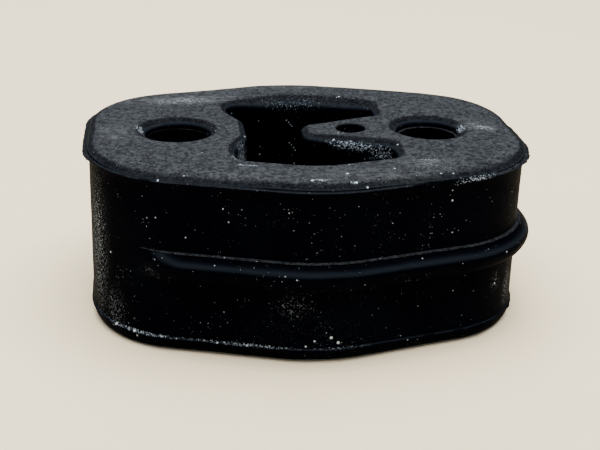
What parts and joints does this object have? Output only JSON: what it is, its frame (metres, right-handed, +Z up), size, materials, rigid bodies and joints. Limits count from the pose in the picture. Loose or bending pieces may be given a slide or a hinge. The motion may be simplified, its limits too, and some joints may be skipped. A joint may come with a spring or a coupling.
{
  "type": "exhaust hanger rubber",
  "caption": "Oval block of black rubber with two flared bores and a C-shaped slot around a stop tongue, which hangs an exhaust pipe under a car.",
  "frame": {"origin": "middle of the outer box at the lower face, which the block stands on", "axes": "+X from the end without the rib to the end that the rib goes round, along the line of the two bores; +Y across; +Z up along the bores"},
  "size_m": [0.0716, 0.0578, 0.0287],
  "materials": {
    "moulded_rubber": "moulded black rubber, aged and dusty"
  },
  "bodies": {
    "root": {"hanger_rubber": "moulded_rubber"}
  },
  "joints": []
}
